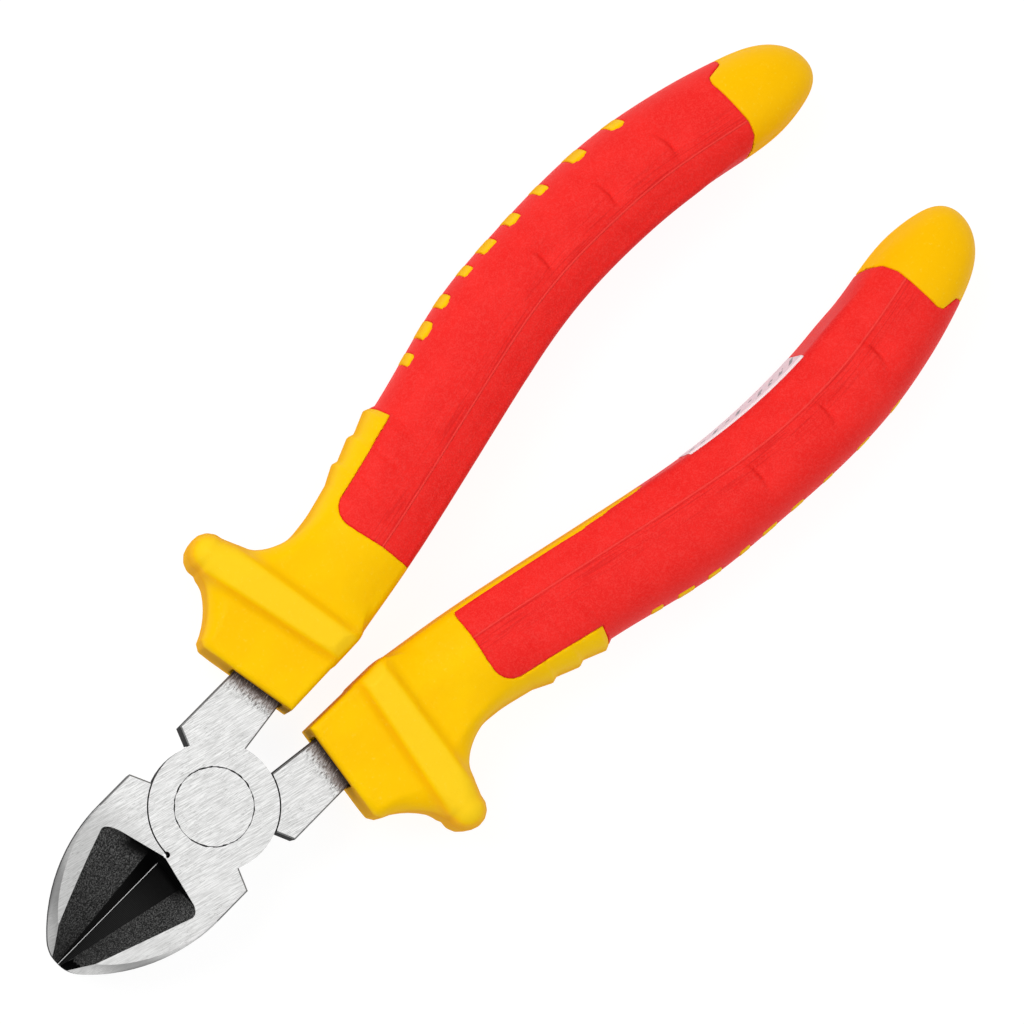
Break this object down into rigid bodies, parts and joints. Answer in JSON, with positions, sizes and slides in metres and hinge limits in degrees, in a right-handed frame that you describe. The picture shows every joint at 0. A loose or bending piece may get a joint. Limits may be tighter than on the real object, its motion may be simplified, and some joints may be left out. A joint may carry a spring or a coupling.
{
  "type": "diagonal cutting pliers",
  "caption": "Diagonal cutting pliers with a riveted lap joint, ground jaws and two-colour insulated handles with guard collars.",
  "frame": {"origin": "where the pivot's axis meets the ground back face of the lap joint", "axes": "+X along the tool to the tips of the jaws, +Y the side of the rear half's handle, +Z the front face, with the jaws shut"},
  "size_m": [0.1637, 0.058, 0.018],
  "materials": {
    "steel": "ground, with blackened hollows",
    "yellow_plastic": "smooth moulded",
    "red_grip": "fine grained soft touch",
    "label": "satin paper"
  },
  "bodies": {
    "rear_body": {"rear_half": "steel", "pivot_rivet": "steel", "rear_handle_sleeve": "yellow_plastic", "rear_handle_grip": "red_grip", "stock_label": "label"},
    "front_body": {"front_half": "steel", "front_handle_sleeve": "yellow_plastic", "front_handle_grip": "red_grip"}
  },
  "joints": [
    {"name": "jaw_pivot", "type": "hinge", "parent": "rear_body", "child": "front_body", "pos_m": [0, 0, 0.0049], "axis": [0, 0, 1], "range_deg": [0, 45]}
  ]
}
